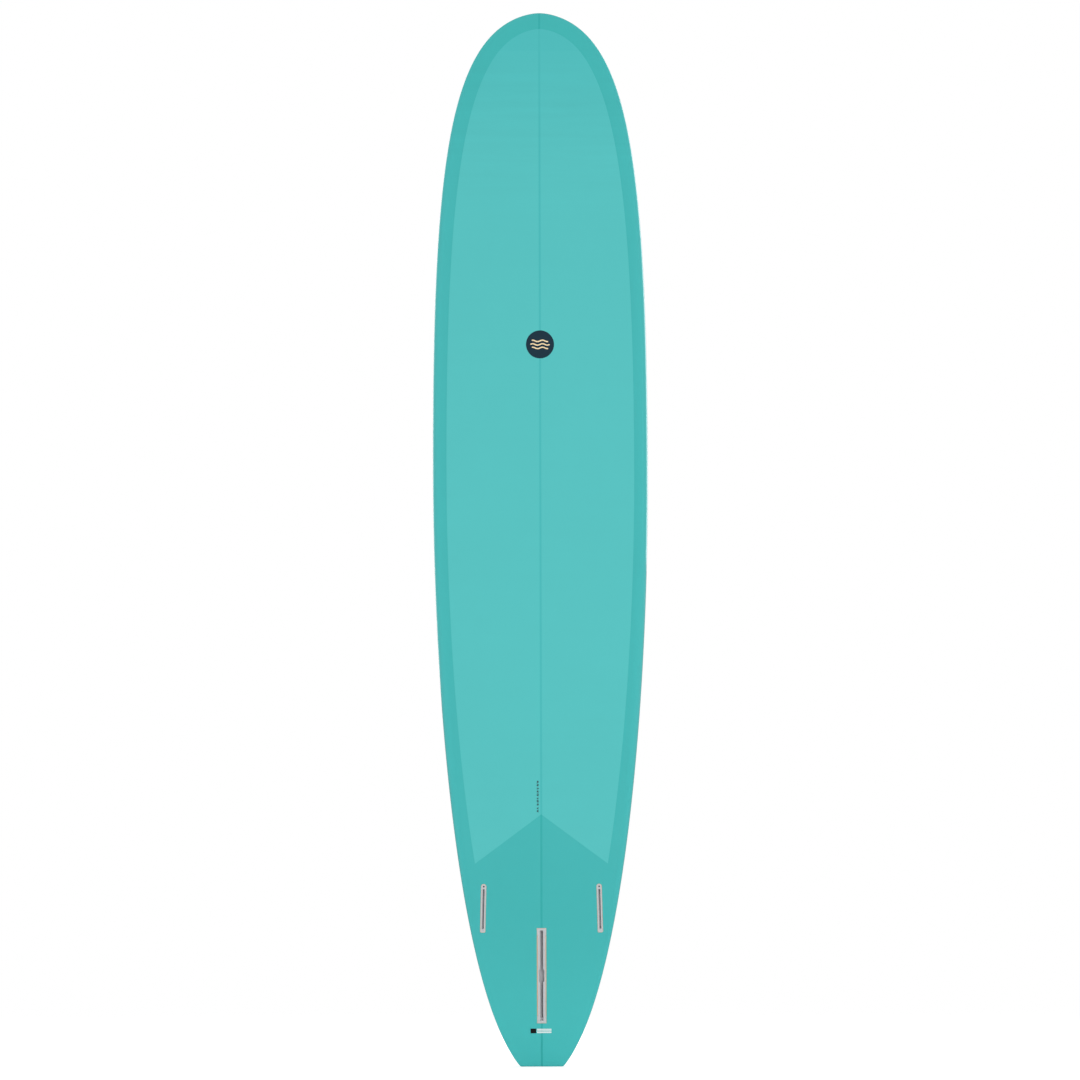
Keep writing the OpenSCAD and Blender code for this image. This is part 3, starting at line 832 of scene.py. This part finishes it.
def tail_strip():
    """A plain printed strip between the centre box and the tail end: a dark block and three white stripes."""
    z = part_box("centre_box_resin")[0].z - STRIP_DROP
    bm = bmesh.new()
    block = [(x, z) for x in steps(*BLOCK_X, BLOCK_N)]
    ribbon(bm, block, BLOCK_H, *STRIP_DEPTHS, 0)
    for row in (-1, 0, 1):
        stripe = [(x, z + row * STRIPE_GAP) for x in steps(*STRIPE_X, STRIPE_N)]
        ribbon(bm, stripe, STRIPE_H, *STRIP_DEPTHS, 1)
    piece = new_piece("tail_strip", bm, [INK, WHITE])


# ---------------------------------------------------------------- boxes, plug and inner parts

PLASTIC_BEVEL = 0.35 * MM
RESIN_BEVEL = 0.12 * MM
BAR_BEVEL = 0.1 * MM
SCREW_BEVEL = 0.15 * MM


def hardware():
    """The fin boxes, the leash plug, their resin and the steel parts, as refined copies of their nodes."""
    for node in ("centre_fin_box", "side_fin_box_left", "side_fin_box_right", "leash_plug_cup"):
        refined(node, PLASTIC, PLASTIC_BEVEL)
    for node in ("centre_box_resin", "side_box_resin_left", "side_box_resin_right", "leash_plug_resin"):
        refined(node, RESIN, RESIN_BEVEL)
    refined("leash_plug_bar", STEEL, BAR_BEVEL)
    for side in ("left", "right"):
        refined("side_box_screw_" + side, STEEL, SCREW_BEVEL, "screw_" + side)


def inner_parts():
    """The parts that the skins close in keep their CAD shape."""
    inner = {"foam_left": FOAM, "foam_right": FOAM, "stringer": WOOD, "deck_inlay": CLOTH}
    for node, material in inner.items():
        NODES[node].data.materials.clear()
        NODES[node].data.materials.append(material)


# ---------------------------------------------------------------- floor, light and camera

CENTRE = Vector((0.0, (CAD_LOW.y + CAD_HIGH.y) / 2, BOARD_L / 2))
FLOOR_R = 7.0
FLOOR_RINGS, FLOOR_AROUND = 24, 96
FLOOR_FADE = (6.9, 2.0)             # distances from the board where the floor is clear and where it is whole
FLOOR_GLOW = (0.6, 3.0, 0.38, 0.8)  # over the first two distances its glow grows from the third to the last
MIRRORED_LOSS = 0.65                # how much darker the gloss mirrors the floor


def floor():
    """A pale round floor that fades out at its rim."""
    bm = bmesh.new()
    middle = bm.verts.new((0, 0, CAD_LOW.z))
    angles = [2 * math.pi * k / FLOOR_AROUND for k in range(FLOOR_AROUND)]
    rings = []
    for r in range(1, FLOOR_RINGS + 1):
        reach = FLOOR_R * r / FLOOR_RINGS
        rings.append([bm.verts.new((reach * math.cos(a), reach * math.sin(a), CAD_LOW.z)) for a in angles])
    fill_rings(bm, middle, rings)
    m = Material("pale_floor", Roughness=0.7, Specular_IOR_Level=0.1)
    rays = m.add("ShaderNodeLightPath").outputs
    mirrored = m.calc("MULTIPLY_ADD", rays["Is Glossy Ray"], -MIRRORED_LOSS, 1.0)
    m.set("Base Color", m.scaled((0.86, 0.86, 0.86, 1), m.swing(m.noise(3.0, 3.0), 0.01), mirrored))
    m.shader.inputs["Emission Color"].default_value = (1, 1, 1, 1)
    away = m.add("ShaderNodeVectorMath", {"operation": "LENGTH"}, Vector=m.place).outputs["Value"]
    m.set("Emission Strength", m.calc("MULTIPLY", rays["Is Camera Ray"], m.ramp(away, *FLOOR_GLOW)))
    m.set("Alpha", m.ramp(away, *FLOOR_FADE))
    new_piece("floor", bm, [m.material], body=None)


# Each light's name, azimuth and elevation in degrees, distance, width and height in metres, radiance, and
# whether it also shows in the gloss. Azimuth 0 is the camera's side and 90 the board's right.
LIGHTS = (
    ("key", 12, 3, 6.0, 0.8, 2.6, 14.0, False),
    ("right_fill", 76, 4, 4.5, 3.0, 3.2, 1.35, False),
    ("left_fill", -76, 4, 4.5, 3.0, 3.2, 1.8, False),
    ("top", 0, 88, 3.6, 3.5, 3.5, 0.8, False),
    ("back_key", 140, 20, 4.5, 2.6, 3.6, 1.6, True),
    ("back_fill", -150, 15, 4.5, 2.6, 3.6, 1.0, True),
)


def softbox(name, azimuth, elevation, distance, width, height, radiance, mirrored):
    """A rectangular light that faces the board."""
    a, e = math.radians(azimuth), math.radians(elevation)
    away = Vector((math.sin(a) * math.cos(e), -math.cos(a) * math.cos(e), math.sin(e)))
    data = bpy.data.lights.new(name, "AREA")
    data.shape = "RECTANGLE"
    data.size = width
    data.size_y = height
    data.energy = 4 * radiance * width * height      # Blender spreads a quarter of it over the area
    light = bpy.data.objects.new(name, data)
    light.location = CENTRE + away * distance
    light.rotation_euler = (-away).to_track_quat("-Z", "Y").to_euler()
    light.visible_camera = False
    light.visible_glossy = mirrored
    bpy.context.scene.collection.objects.link(light)


def studio():
    """The world's even light, which the camera sees as plain white, and the softboxes."""
    world = bpy.data.worlds.new("studio")
    bpy.context.scene.world = world
    world.use_nodes = True
    tree = world.node_tree
    fill = tree.nodes["Background"]
    fill.inputs["Color"].default_value = (1, 1, 1, 1)
    backdrop = tree.nodes.new("ShaderNodeBackground")
    backdrop.inputs["Color"].default_value = (1, 1, 1, 1)
    backdrop.inputs["Strength"].default_value = 1.0
    seen = tree.nodes.new("ShaderNodeLightPath")
    dimmed = tree.nodes.new("ShaderNodeMath")
    dimmed.operation = "MULTIPLY_ADD"
    dimmed.inputs[1].default_value = GLOSS_AMBIENT - AMBIENT
    dimmed.inputs[2].default_value = AMBIENT
    tree.links.new(seen.outputs["Is Glossy Ray"], dimmed.inputs[0])
    tree.links.new(dimmed.outputs[0], fill.inputs["Strength"])
    mixer = tree.nodes.new("ShaderNodeMixShader")
    tree.links.new(seen.outputs["Is Camera Ray"], mixer.inputs[0])
    tree.links.new(fill.outputs[0], mixer.inputs[1])
    tree.links.new(backdrop.outputs[0], mixer.inputs[2])
    tree.links.new(mixer.outputs[0], tree.nodes["World Output"].inputs["Surface"])
    for light in LIGHTS:
        softbox(*light)


CAMERA_DISTANCE = 60.0              # far off, so that the view is almost without perspective
FRAME_W = 2.964                     # width of the frame at the board
CAMERA_ROLL = math.radians(0.15)
CAMERA_X = -1.4 * MM
CAMERA_Z = BOARD_L / 2 - 0.9 * MM
SENSOR_W = 36.0


def camera():
    """A distant camera, square on to the bottom and rolled a little."""
    data = bpy.data.cameras.new("camera")
    data.sensor_width = SENSOR_W
    data.lens = SENSOR_W * CAMERA_DISTANCE / FRAME_W
    data.clip_start, data.clip_end = 1.0, 200.0
    cam = bpy.data.objects.new("camera", data)
    cam.location = (CAMERA_X, bottom_y(LOW_Z) - CAMERA_DISTANCE, CAMERA_Z)
    cam.rotation_euler = (math.pi / 2, CAMERA_ROLL, 0)
    bpy.context.scene.collection.objects.link(cam)
    bpy.context.scene.camera = cam


bottom_skin()
deck_skin()
tail_patch()
badge()
pencil_marks()
tail_strip()
hardware()
inner_parts()
floor()
studio()
camera()
bpy.context.scene.view_settings.view_transform = "Standard"
